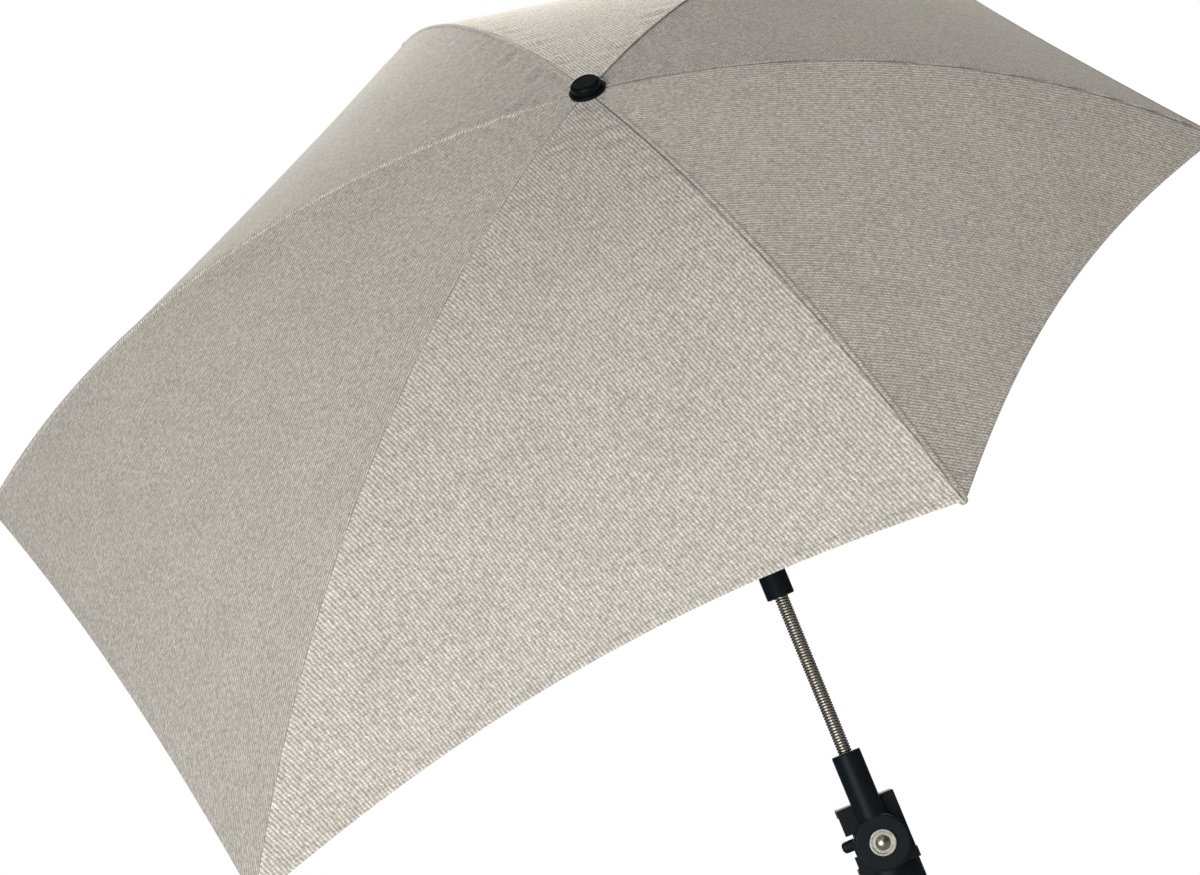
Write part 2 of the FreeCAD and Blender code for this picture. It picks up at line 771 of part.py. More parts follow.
def half_gore(number, neighbour):
    """The cloth from a rib to the middle line of the gore beside it, hollowed at the hem."""
    sections = [(hem_middle_share * step / body_sections, 1) for step in range(body_sections)]
    for step in hem_section_shares:
        share = 1 - (1 - hem_middle_share) * (1 - step)
        sections.append((share, 1 - math.sqrt(step)))
    wires = []
    for share, spread in sections:
        over_rib = cloth_point(number, share)
        across = cloth_point(neighbour, share) - over_rib
        width = max((across.Length / 2 - cloth_side_gap) * spread, tip_half_width)
        width = min(width, across.Length / 2 - cloth_side_gap)
        edge = over_rib + across * (width / across.Length)
        lift = V(0, 0, cloth_thickness)
        wires.append(Part.makePolygon([over_rib, edge, edge + lift, over_rib + lift, over_rib]))
    return Part.makeLoft(wires, True, True)


def canopy(number):
    before = (number - 2) % rib_count + 1
    after = number % rib_count + 1
    cloth = half_gore(number, before).fuse(half_gore(number, after))
    return place_on_mast(cloth)


def main():
    os.makedirs("parts", exist_ok=True)
    single = (clamp_body, moving_jaw, clamp_screw, clamp_knob, friction_washer, socket_arm, arm_rivet,
              rivet_nut, lock_button, lock_spring, gooseneck_coil, gooseneck_core, tilt_collar, tilt_pin,
              tilt_button, tilt_spring, upper_knuckle, mast_tube, runner, runner_catch, top_notch, pivot_wire,
              cap_flange, ferrule_cap)
    for piece in single:
        save(piece.__name__, piece())
    save("upper_jaw_pad", jaw_pad(throat_top, -1))
    save("lower_jaw_pad", jaw_pad(-tube_radius - pad_seat, 1))
    save("knob_clip", clip_ring(neck_radius - clip_groove))
    for number in range(1, rib_count + 1):
        for piece in (rib, rib_tip, rib_joint, stretcher, canopy):
            save(piece.__name__ + "_" + str(number), piece(number))


main()
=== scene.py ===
# Pram parasol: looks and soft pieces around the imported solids. Metres, in the frame of the solids.
import json
import math

import bpy
import numpy as np
from mathutils import Matrix, Vector


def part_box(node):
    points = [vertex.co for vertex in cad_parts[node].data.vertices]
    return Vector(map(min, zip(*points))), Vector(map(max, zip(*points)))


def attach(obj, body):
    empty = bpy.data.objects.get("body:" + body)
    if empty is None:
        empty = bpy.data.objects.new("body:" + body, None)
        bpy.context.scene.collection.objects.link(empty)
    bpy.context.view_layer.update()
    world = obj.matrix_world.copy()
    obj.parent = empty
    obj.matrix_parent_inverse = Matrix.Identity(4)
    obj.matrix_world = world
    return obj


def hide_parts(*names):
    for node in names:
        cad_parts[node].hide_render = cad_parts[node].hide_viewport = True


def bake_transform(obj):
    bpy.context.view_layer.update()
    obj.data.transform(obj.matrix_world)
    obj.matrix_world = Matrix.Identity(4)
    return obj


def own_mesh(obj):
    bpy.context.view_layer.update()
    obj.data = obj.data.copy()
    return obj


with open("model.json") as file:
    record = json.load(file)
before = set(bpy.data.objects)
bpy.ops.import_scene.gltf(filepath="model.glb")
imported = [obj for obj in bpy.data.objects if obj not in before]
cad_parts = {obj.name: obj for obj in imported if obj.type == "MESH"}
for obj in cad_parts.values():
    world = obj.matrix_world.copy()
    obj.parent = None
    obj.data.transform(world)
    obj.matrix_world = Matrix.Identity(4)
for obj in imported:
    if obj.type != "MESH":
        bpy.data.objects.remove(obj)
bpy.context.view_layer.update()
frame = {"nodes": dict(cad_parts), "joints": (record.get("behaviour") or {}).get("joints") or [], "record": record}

MM = 0.001
SCENE = bpy.context.scene
JOINTS = {joint["name"]: joint for joint in frame["joints"]}
TILT_PIVOT = np.array(JOINTS["canopy_tilt"]["pos_m"])

# Ribs, repeated from the part's source, in millimetres and degrees
RIB_COUNT = 6
FIRST_RIB_ANGLE = 225.0
LONG_RIB = {"length": 470.0, "bend": 613.0}
SIDE_RIB = {"length": 342.0, "bend": 578.0}
BACK_RIB = {"length": 342.0, "bend": 452.0}
RIB_SHAPES = {1: LONG_RIB, 2: SIDE_RIB, 3: BACK_RIB, 4: BACK_RIB, 5: SIDE_RIB, 6: LONG_RIB}
RIB_AXIS_TOP = 313.8
CANOPY_TILT = math.radians(42.2)

# Cloth, in millimetres. Gore N lies between rib N and the next; the middle of its hem reaches this share of
# the ribs' length
CLOTH_LIFT = 3.1
CLOTH_THICKNESS = 0.8
CLOTH_INNER = 9.5
HEM_MIDDLE_SHARES = {1: 0.94, 2: 0.94, 3: 0.94, 4: 0.94, 5: 0.94, 6: 0.98}
TIP_ROUND = 1.2
TIP_ROUND_POWER = 8
CLOTH_SHARP_ANGLE = math.radians(60.0)

# Grid of the cloth, in millimetres: columns close to a seam, rows close to the hem
SEAM_COLUMNS = np.array([0.0, 0.5, 1.0, 1.6, 2.2, 2.8, 3.6, 5.0])
SEAM_FADE_WIDTH = 25.0
GORE_COLUMNS = 26
HEM_ROWS = np.array([9.0, 7.5, 6.2, 5.4, 4.6, 3.0, 1.6, 0.7, 0.25, 0.0])
ROW_LENGTH = 400.0
CLOTH_ROWS = 110

# Felled seam, puckers beside it and turned hem, in millimetres
SEAM_LAP = 2.4
SEAM_HEIGHT = 0.55
SEAM_STEP = 0.8
LAP_EDGE = 0.6
# Place of the painted shadow line beside the seam
SEAM_SHADOW_LINE = -0.7
GROOVE_DEPTH = 0.18
GROOVE_PLACE = 0.9
GROOVE_WIDTH = 0.5
PUCKER_HEIGHT = 0.32
PUCKER_LENGTHS = (13.0, 19.0)
PUCKER_REACH = 11.0
GATHER_HEIGHT = 1.5
GATHER_REACH = 70.0
HEM_BAND = 5.0
HEM_HEIGHT = 0.35
HEM_STEP = 0.8
HEM_EDGE = 1.0

# Stitches, in millimetres, and the rows of the cloth's grid that they follow
SEAM_STITCH_LINE = 1.5
SEAM_STITCH_ROWS = slice(5, -3)
HEM_STITCH_ROW = 4
STITCH_PITCH = 3.4
STITCH_LENGTH = 2.4
STITCH_SIDES = 6
STITCH_RINGS = 4
THREAD_RADIUS = 0.16
THREAD_LIFT = 0.4

# Pocket over a rib's end, in millimetres; it is plain cloth, well away from any seam
POCKET_LENGTH = 16.0
POCKET_PROUD = 0.5
POCKET_HALF_WIDTH = 2.9
POCKET_HALF_HEIGHT = 2.7
POCKET_MIDDLE_LIFT = 0.1
POCKET_BLUNTNESS = 0.45
POCKET_FROM_SEAM = 20.0
POCKET_RINGS = 14
POCKET_SIDES = 20

# Weave of the cloth, in millimetres
TWILL_LINE = 1.8
TWILL_LEAN = math.radians(27.0)
TWILL_DEPTH = 0.2
WEFT_PICK = 1.8
SPECK = 2.2
FLECK = 14.0
CLOUD = 40.0

# Tones by which the weave, a painted shadow line beside each seam and a painted highlight on its lap multiply
# the cloth's colour, and what each runs over: a noise keeps mostly to its middle values, and the seam's painted
# shadow and highlight fade over a distance in millimetres
TWILL_TONES = (0.7, 1.28)
PICK_TONES = (0.92, 1.08)
SPECK_TONES = (0.64, 1.36)
CLOUD_TONES = (0.97, 1.03)
# Painted shadow line beside the seam
SEAM_SHADOW_LINE_TONES = (0.38, 1.0)
# Painted highlight on the seam's lap
LAP_HIGHLIGHT_TONES = (1.1, 1.0)
WAVE_RANGE = (0.0, 1.0)
NOISE_RANGE = (0.3, 0.7)
SEAM_SHADOW_LINE_FADE = (0.2, 0.9)
LAP_HIGHLIGHT_FADE = (SEAM_LAP / 3, SEAM_LAP / 2)

# Painted light and shade of each gore: a factor on its colour that lightens or darkens the whole panel as light
# would
GORE_PAINTED_LIGHT = {1: 0.98, 2: 1.03, 3: 0.86, 4: 1.28, 5: 0.9, 6: 0.96}

# Drawn metal, in millimetres
METAL_CLOUD = 6.0
DIE_LINE_DEPTH = 0.03

# Wound neck, in millimetres
NECK_SOCKET = 5.0
CORE_SOCKET = 12.0
COIL_RADIUS = 4.2
COIL_WIRE = 1.55
COIL_TURNS = 62
CORE_RADIUS = 2.6
CORE_RING_PITCH = 1.0
CORE_RING_DEPTH = 0.12
CORE_SIDES = 32

# Springs under the buttons, in millimetres
LOCK_SPRING = {"radius": 1.3, "wire": 0.4, "turns": 3.0}
TILT_SPRING = {"radius": 1.9, "wire": 0.45, "turns": 3.0}

# Wound wire: points on each turn and sides of the wire
TURN_POINTS = 28
WIRE_SIDES = 10


def linear(hex_colour):
    """An sRGB hex colour as linear values."""
    channels = [int(hex_colour[i:i + 2], 16) / 255 for i in (1, 3, 5)]
    return [c / 12.92 if c <= 0.04045 else ((c + 0.055) / 1.055) ** 2.4 for c in channels] + [1.0]


def add_node(tree, kind, inputs=None, **settings):
    """Add a node, set its properties and its inputs; an input that is a socket is linked."""
    made = tree.nodes.new(kind)
    for name, value in settings.items():
        setattr(made, name, value)
    for name, value in (inputs or {}).items():
        if isinstance(value, bpy.types.NodeSocket):
            tree.links.new(value, made.inputs[name])
        else:
            made.inputs[name].default_value = value
    return made


# Sockets of a colour mix, whose names are shared by its number sockets
MIX_SHARE, MIX_FIRST, MIX_SECOND, MIX_RESULT = 0, 6, 7, 2


def new_material(name):
    """A material and its node tree, still empty."""
    material = bpy.data.materials.new(name)
    material.use_nodes = True
    material.node_tree.nodes.clear()
    return material, material.node_tree


def end_material(tree, sockets):
    """End a material's tree in a Principled shader, with its sockets set or linked by name."""
    shader = add_node(tree, "ShaderNodeBsdfPrincipled", sockets)
    add_node(tree, "ShaderNodeOutputMaterial", {"Surface": shader.outputs[0]})


def per_mm(size):
    """Texture scale on coordinates in metres for features of a size in millimetres."""
    return 1 / (size * MM)


def band_scale(period):
    """Wave texture scale for bands with a period in the units of its coordinates: at a scale of 1, they
    repeat every 2 pi / 20."""
    return 2 * math.pi / (20 * period)


# Materials
def grained_finish(name, dark, light, roughness, grain, depth, patch, sockets):
    """A moulded or coated surface: grain of a size and depth in millimetres, patches of tone and gloss."""
    material, tree = new_material(name)
    place = add_node(tree, "ShaderNodeTexCoord").outputs["Object"]
    patches = add_node(tree, "ShaderNodeTexNoise", {
        "Vector": place, "Scale": per_mm(patch), "Detail": 4.0, "Roughness": 0.6})
    fine = add_node(tree, "ShaderNodeTexNoise", {
        "Vector": place, "Scale": per_mm(grain), "Detail": 3.0, "Roughness": 0.6})
    tone = add_node(tree, "ShaderNodeMix", {
        MIX_SHARE: patches.outputs[0], MIX_FIRST: linear(dark), MIX_SECOND: linear(light)},
        data_type="RGBA")
    gloss = add_node(tree, "ShaderNodeMapRange", {
        "Value": patches.outputs[0], "From Min": NOISE_RANGE[0], "From Max": NOISE_RANGE[1],
        "To Min": roughness * 0.85, "To Max": roughness * 1.15})
    bump = add_node(tree, "ShaderNodeBump", {
        "Height": fine.outputs[0], "Strength": 0.6, "Distance": depth * MM})
    end_material(tree, {
        "Base Color": tone.outputs[MIX_RESULT], "Roughness": gloss.outputs[0], "Normal": bump.outputs[0],
        **sockets})
    return material


def woven_polyester():
    """Woven polyester, dyed greige: a fine twill whose lines lean across each gore, speckled where threads
    differ, with a faint pink and green fleck and a soft sheen. Painted light and shade make each gore lighter
    or darker, with a painted shadow line beside each seam and a painted highlight on its lap. The twill lines
    are 1.8 mm apart where real ones are about 1.3 mm, which would be too fine to show."""
    material, tree = new_material("woven_polyester_greige")
    flat_place = add_node(tree, "ShaderNodeUVMap", uv_map="cloth").outputs[0]
    leaning = add_node(tree, "ShaderNodeMapping", {
        "Vector": flat_place, "Rotation": (0.0, 0.0, TWILL_LEAN)})
    twill = add_node(tree, "ShaderNodeTexWave", {
        "Vector": leaning.outputs[0], "Scale": band_scale(TWILL_LINE), "Distortion": 2.6, "Detail": 2.0,
        "Detail Scale": 1.3}, wave_type="BANDS", bands_direction="X")
    picks = add_node(tree, "ShaderNodeTexWave", {
        "Vector": flat_place, "Scale": band_scale(WEFT_PICK), "Distortion": 2.2, "Detail": 1.0,
        "Detail Scale": 1.2}, wave_type="BANDS", bands_direction="Y")
    solid_place = add_node(tree, "ShaderNodeTexCoord").outputs["Object"]
    specks = add_node(tree, "ShaderNodeTexNoise", {
        "Vector": solid_place, "Scale": per_mm(SPECK), "Detail": 3.0, "Roughness": 0.8})
    flecks = add_node(tree, "ShaderNodeTexNoise", {
        "Vector": solid_place, "Scale": per_mm(FLECK), "Detail": 4.0, "Roughness": 0.7})
    clouds = add_node(tree, "ShaderNodeTexNoise", {
        "Vector": solid_place, "Scale": per_mm(CLOUD), "Detail": 2.0, "Roughness": 0.5})
    # Each gore's painted light and shade, a factor on its colour
    gore = add_node(tree, "ShaderNodeAttribute", attribute_name="gore_shade")
    from_seam = add_node(tree, "ShaderNodeAttribute", attribute_name="from_seam")

    def distance_from(middle):
        shifted = add_node(tree, "ShaderNodeMath", {0: from_seam.outputs["Fac"], 1: middle},
                           operation="SUBTRACT")
        return add_node(tree, "ShaderNodeMath", {0: shifted.outputs[0]}, operation="ABSOLUTE").outputs[0]

    lines = add_node(tree, "ShaderNodeMapRange", {
        "Value": twill.outputs["Fac"], "To Min": TWILL_TONES[0], "To Max": TWILL_TONES[1]})
    # The twill's tones times the gore's painted light and shade, then the other tones in turn
    shade = add_node(tree, "ShaderNodeMath", {0: lines.outputs[0], 1: gore.outputs["Fac"]},
                     operation="MULTIPLY")
    for pattern, (low, high), (first, last) in (
            (picks.outputs["Fac"], WAVE_RANGE, PICK_TONES),
            (specks.outputs[0], NOISE_RANGE, SPECK_TONES),
            (clouds.outputs[0], NOISE_RANGE, CLOUD_TONES),
            # A painted shadow line beside each seam
            (distance_from(SEAM_SHADOW_LINE), SEAM_SHADOW_LINE_FADE, SEAM_SHADOW_LINE_TONES),
            # A painted highlight on the seam's lap
            (distance_from(SEAM_LAP / 2), LAP_HIGHLIGHT_FADE, LAP_HIGHLIGHT_TONES)):
        tone = add_node(tree, "ShaderNodeMapRange", {
            "Value": pattern, "From Min": low, "From Max": high, "To Min": first, "To Max": last})
        shade = add_node(tree, "ShaderNodeMath", {0: shade.outputs[0], 1: tone.outputs[0]},
                         operation="MULTIPLY")
    tinted = add_node(tree, "ShaderNodeMix", {
        MIX_SHARE: flecks.outputs[0], MIX_FIRST: linear("#C9C6B9"), MIX_SECOND: linear("#D4C8BD")},
        data_type="RGBA")
    colour = add_node(tree, "ShaderNodeMix", {
        MIX_SHARE: 1.0, MIX_FIRST: tinted.outputs[MIX_RESULT], MIX_SECOND: shade.outputs[0]},
        data_type="RGBA", blend_type="MULTIPLY")
    bump = add_node(tree, "ShaderNodeBump", {
        "Height": lines.outputs[0], "Strength": 0.4, "Distance": TWILL_DEPTH * MM})
    end_material(tree, {
        "Base Color": colour.outputs[MIX_RESULT], "Normal": bump.outputs[0], "Roughness": 0.82,
        "Sheen Weight": 0.15, "Sheen Roughness": 0.5, "Specular IOR Level": 0.25})
    return material


def sewing_thread():
    """Spun polyester thread: a twist of fine strands, a shade under the cloth's colour."""
    strand_pitch = 0.5 * MM
    material, tree = new_material("spun_polyester_thread")
    place = add_node(tree, "ShaderNodeTexCoord").outputs["Object"]
    twist = add_node(tree, "ShaderNodeTexWave", {"Vector": place, "Scale": band_scale(strand_pitch)},
                     wave_type="BANDS", bands_direction="DIAGONAL")
    colour = add_node(tree, "ShaderNodeMix", {
        MIX_SHARE: twist.outputs["Fac"], MIX_FIRST: linear("#8C867B"), MIX_SECOND: linear("#AEA89C")},
        data_type="RGBA")
    end_material(tree, {"Base Color": colour.outputs[MIX_RESULT], "Roughness": 0.75, "Sheen Weight": 0.2})
    return material


def drawn_metal(name, dark, light, roughness, line, sockets):
    """Drawn or plated metal: fine lines of a width in millimetres left by the die, and cloudy gloss."""
    material, tree = new_material(name)
    place = add_node(tree, "ShaderNodeTexCoord").outputs["Object"]
    cloud = add_node(tree, "ShaderNodeTexNoise", {
        "Vector": place, "Scale": per_mm(METAL_CLOUD), "Detail": 5.0, "Roughness": 0.65})
    lines = add_node(tree, "ShaderNodeTexNoise", {
        "Vector": place, "Scale": per_mm(line), "Detail": 2.0, "Roughness": 0.5})
    colour = add_node(tree, "ShaderNodeMix", {
        MIX_SHARE: cloud.outputs[0], MIX_FIRST: linear(dark), MIX_SECOND: linear(light)},
        data_type="RGBA")
    gloss = add_node(tree, "ShaderNodeMapRange", {
        "Value": cloud.outputs[0], "From Min": NOISE_RANGE[0], "From Max": NOISE_RANGE[1],
        "To Min": roughness * 0.75, "To Max": roughness * 1.3})
    bump = add_node(tree, "ShaderNodeBump", {
        "Height": lines.outputs[0], "Strength": 0.25, "Distance": DIE_LINE_DEPTH * MM})
    end_material(tree, {
        "Base Color": colour.outputs[MIX_RESULT], "Roughness": gloss.outputs[0], "Normal": bump.outputs[0],
        "Metallic": 1.0, **sockets})
    return material


# Glass filled nylon from a spark eroded mould: a satin black with a fine grain that breaks up highlights
NYLON = grained_finish("moulded_nylon_black", "#10161A", "#192126", roughness=0.4, grain=0.8, depth=0.05,
                       patch=14.0, sockets={"Specular IOR Level": 0.12})
# Polished ABS: deeper black, smooth enough for a clear highlight on the edges
POLISHED_ABS = grained_finish("polished_abs_black", "#0A0F11", "#11181A", roughness=0.2, grain=1.2,
                              depth=0.012, patch=10.0, sockets={"Specular IOR Level": 0.1})
# Bright nickel plate: warm white metal, a soft gloss that clouds with handling, greyer towards the edges
NICKEL = drawn_metal("bright_nickel_plate", "#B2AE9F", "#CBC7B9", roughness=0.26, line=0.8,
                     sockets={"Specular Tint": linear("#5A5A56")})
# Drawn spring steel: bright wire, the lamps a pale line down each turn, dark towards the turn's edges
SPRING_STEEL = drawn_metal("drawn_spring_steel", "#DAD7CC", "#EAE7DC", roughness=0.22, line=0.8,
                           sockets={"Specular Tint": linear("#181817")})
# Zinc plated drawn wire: greyer and duller than nickel
ZINC = drawn_metal("zinc_plated_wire", "#8E9194", "#B4B6B8", roughness=0.34, line=0.6, sockets={})
# Steel core, coloured nearly black as painted shade, so the gaps between the turns of the neck read dark
CORE_PAINTED_SHADE = drawn_metal("steel_core_painted_shade", "#1B1B1A", "#2C2B29", roughness=0.5, line=0.6, sockets={})
# Moulded rubber: matt near black with a dusty bloom
RUBBER = grained_finish("moulded_rubber", "#17181A", "#242526", roughness=0.78, grain=0.7, depth=0.08,
                        patch=6.0, sockets={"IOR": 1.5})
# Powder coat on steel tube: satin black with the slight orange peel of baked powder
POWDER_COAT = grained_finish("powder_coat_black", "#14171A", "#1D2124", roughness=0.38, grain=1.5,
                             depth=0.06, patch=18.0, sockets={"IOR": 1.5})
# Lacquered rib wire: thin dark paint, a little glossier than powder coat
LACQUER = grained_finish("lacquered_rib_wire", "#1A1C1F", "#26292C", roughness=0.3, grain=1.0, depth=0.02,
                         patch=9.0, sockets={"IOR": 1.5})
# Moulded acetal tips: dark grey, slightly waxy
ACETAL = grained_finish("moulded_acetal", "#1D1F21", "#2A2C2E", roughness=0.36, grain=0.9, depth=0.03,
                        patch=5.0, sockets={"IOR": 1.48})
CLOTH = woven_polyester()
THREAD = sewing_thread()

SLOT_FINISHES = {"black_plastic": NYLON, "gloss_black": POLISHED_ABS, "nickel": NICKEL, "steel": ZINC,
                 "rubber": RUBBER, "mast_finish": POWDER_COAT, "rib_finish": LACQUER, "tip_plastic": ACETAL,
                 "canopy_cloth": CLOTH}

for subpart in frame["record"]["subparts"]:
    for slot in frame["nodes"][subpart["node"]].material_slots:
        slot.material = SLOT_FINISHES[subpart["material_slot"]]


# Geometry Nodes
def node_tree(name, sizes):
    """A Geometry Nodes tree with geometry in and out and named inputs; gives it and its input node."""
    tree = bpy.data.node_groups.new(name, "GeometryNodeTree")
    tree.interface.new_socket("Geometry", in_out="INPUT", socket_type="NodeSocketGeometry")
    tree.interface.new_socket("Geometry", in_out="OUTPUT", socket_type="NodeSocketGeometry")
    for size, kind in sizes.items():
        tree.interface.new_socket(size, in_out="INPUT", socket_type=kind)
    return tree, add_node(tree, "NodeGroupInput")


def end_tree(tree, given, geometry):
    """End a tree in real geometry, smooth, with the material that its input names."""
    real = add_node(tree, "GeometryNodeRealizeInstances", {"Geometry": geometry})
    rounded = add_node(tree, "GeometryNodeSetShadeSmooth", {"Geometry": real.outputs[0]})
    coloured = add_node(tree, "GeometryNodeSetMaterial", {
        "Geometry": rounded.outputs[0], "Material": given.outputs["Finish"]})
    add_node(tree, "NodeGroupOutput", {0: coloured.outputs[0]})
    return tree


def wound_wire_tree():
    """A wire wound round +Z: Turns over Rise, at Wound radius, moved to Start."""
    tree, given = node_tree("wound_wire", {
        "Turns": "NodeSocketFloat", "Wound radius": "NodeSocketFloat", "Rise": "NodeSocketFloat",
        "Wire radius": "NodeSocketFloat", "Start": "NodeSocketVector", "Finish": "NodeSocketMaterial"})
    spiral = add_node(tree, "GeometryNodeCurveSpiral", {
        "Resolution": TURN_POINTS, "Rotations": given.outputs["Turns"], "Height": given.outputs["Rise"],
        "Start Radius": given.outputs["Wound radius"], "End Radius": given.outputs["Wound radius"]})
    section = add_node(tree, "GeometryNodeCurvePrimitiveCircle", {
        "Resolution": WIRE_SIDES, "Radius": given.outputs["Wire radius"]})
    wire = add_node(tree, "GeometryNodeCurveToMesh", {
        "Curve": spiral.outputs[0], "Profile Curve": section.outputs[0], "Fill Caps": True})
    placed = add_node(tree, "GeometryNodeTransform", {
        "Geometry": wire.outputs[0], "Translation": given.outputs["Start"]})
    return end_tree(tree, given, placed.outputs[0])


def stitch_tree():
    """Stitches along the edges of a mesh: one rounded thread of Stitch length at every Pitch."""
    tree, given = node_tree("stitch_row", {
        "Pitch": "NodeSocketFloat", "Stitch length": "NodeSocketFloat", "Thread radius": "NodeSocketFloat",
        "Finish": "NodeSocketMaterial"})
    line = add_node(tree, "GeometryNodeMeshToCurve", {"Mesh": given.outputs["Geometry"]})
    spaced = add_node(tree, "GeometryNodeResampleCurve", {
        "Curve": line.outputs[0], "Length": given.outputs["Pitch"]}, mode="LENGTH")
    heading = add_node(tree, "GeometryNodeInputTangent")
    turned = add_node(tree, "FunctionNodeAlignRotationToVector", {"Vector": heading.outputs[0]}, axis="Z")
    bead = add_node(tree, "GeometryNodeMeshUVSphere", {
        "Segments": STITCH_SIDES, "Rings": STITCH_RINGS, "Radius": 1.0})
    half_length = add_node(tree, "ShaderNodeMath", {0: given.outputs["Stitch length"], 1: 0.5},
                           operation="MULTIPLY")
    size = add_node(tree, "ShaderNodeCombineXYZ", {
        "X": given.outputs["Thread radius"], "Y": given.outputs["Thread radius"],
        "Z": half_length.outputs[0]})
    stitches = add_node(tree, "GeometryNodeInstanceOnPoints", {
        "Points": spaced.outputs[0], "Instance": bead.outputs[0], "Rotation": turned.outputs[0],
        "Scale": size.outputs[0]})
    return end_tree(tree, given, stitches.outputs[0])


WOUND_WIRE = wound_wire_tree()
STITCH_ROW = stitch_tree()


# Meshes
def add_object(name, data):
    made = bpy.data.objects.new(name, data)
    SCENE.collection.objects.link(made)
    return made


def made_plain(holder):
    """Turn an object's evaluated shape into its own plain mesh."""
    bpy.context.view_layer.update()
    depsgraph = bpy.context.evaluated_depsgraph_get()
    mesh = bpy.data.meshes.new_from_object(holder.evaluated_get(depsgraph))
    holder.modifiers.clear()
    holder.data = mesh
    return holder


def grow(name, start, tree, sizes):
    """An object whose mesh a Geometry Nodes tree makes from a starting mesh."""
    holder = add_object(name, start)
    modifier = holder.modifiers.new(name, "NODES")
    modifier.node_group = tree
    for item in tree.interface.items_tree:
        if item.name in sizes:
            modifier[item.identifier] = sizes[item.name]
    return made_plain(holder)


def mesh_of(name, points, faces, edges=()):
    mesh = bpy.data.meshes.new(name)
    mesh.from_pydata([tuple(p) for p in points], list(edges), faces)
    return mesh


def shade_smooth(mesh):
    mesh.polygons.foreach_set("use_smooth", [True] * len(mesh.polygons))


def line_mesh(name, lines):
    """A mesh of open edge runs through rows of points."""
    points, edges = [], []
    for line in lines:
        start = len(points)
        points.extend(line)
        edges.extend((start + k, start + k + 1) for k in range(len(line) - 1))
    return mesh_of(name, points, [], edges)


def tube_faces(ring_count, sides):
    """Faces of a closed tube of rings of points, each ring turning left round the way the rings go."""
    faces = []
    for ring in range(ring_count - 1):
        for side in range(sides):
            a, b = ring * sides + side, ring * sides + (side + 1) % sides
            faces.append((a, b, b + sides, a + sides))
    last = (ring_count - 1) * sides
    faces.append(tuple(range(sides - 1, -1, -1)))
    faces.append(tuple(range(last, last + sides)))
    return faces


# Places on the canopy
def rib_angle(number):
    return math.radians(FIRST_RIB_ANGLE + (number - 1) * 360 / RIB_COUNT)


def next_rib(number, step):
    return (number - 1 + step) % RIB_COUNT + 1


def square_to_rib(number):
    """The direction square to a rib's plane, in the mast's own frame."""
    facing = rib_angle(number)
    return np.array([-math.sin(facing), math.cos(facing), 0.0])


def tilted(points):
    """Points or directions in the mast's own frame, turned to the part's."""
    x, y, z = np.moveaxis(points, -1, 0)
    c, s = math.cos(CANOPY_TILT), math.sin(CANOPY_TILT)
    return np.stack([x, y * c - z * s, y * s + z * c], axis=-1)


def to_part(points):
    """Points in millimetres in the mast's own frame as metres in the part's frame."""
    return tilted(points) * MM + TILT_PIVOT


def over_rib(number, along, lift):
    """Points at lengths along a rib, lifted square to it, in the mast's own frame."""
    bend = RIB_SHAPES[number]["bend"]
    reach = (bend + lift) * np.sin(along / bend)
    height = RIB_AXIS_TOP - bend + (bend + lift) * np.cos(along / bend)
    facing = rib_angle(number)
    return np.stack([reach * math.cos(facing), reach * math.sin(facing), height], axis=-1)


def over_cloth_share(number, share, lift):
    """Points at shares of the cloth's way down a rib, from its inner edge to the rib's end."""
    along = CLOTH_INNER + share * (RIB_SHAPES[number]["length"] - CLOTH_INNER)
    return over_rib(number, along, lift)


# Cloth
def step_down(value, end, width):
    """1 up to an end, falling to 0 over a width."""
    t = np.clip((value - end) / width, 0, 1)
    return 1 - t * t * (3 - 2 * t)


def seam_height(across, lapped):
    """The felled seam over a rib: a flat lap on one side, a step down and a groove on the other."""
    if lapped:
        return SEAM_HEIGHT * step_down(across, SEAM_LAP - LAP_EDGE, SEAM_STEP)
    groove = GROOVE_DEPTH * np.exp(-((across - GROOVE_PLACE) / GROOVE_WIDTH) ** 2)
    return SEAM_HEIGHT * step_down(across, 0.0, SEAM_STEP) - groove


def puckers(number, along, across, away):
    """Small waves that the sewing draws into the cloth beside a seam, deeper where it gathers at the hub,
    and flat at the gore's middle, where the next piece of cloth carries on."""
    first, second = [np.sin(2 * math.pi * along / length + number) for length in PUCKER_LENGTHS]
    depth = PUCKER_HEIGHT + GATHER_HEIGHT * np.exp(-(along / GATHER_REACH) ** 2)
    beside = across / PUCKER_REACH
    return depth * (first + second) / 2 * beside ** 2 * np.exp(1 - beside ** 2) * (1 - away ** 2)


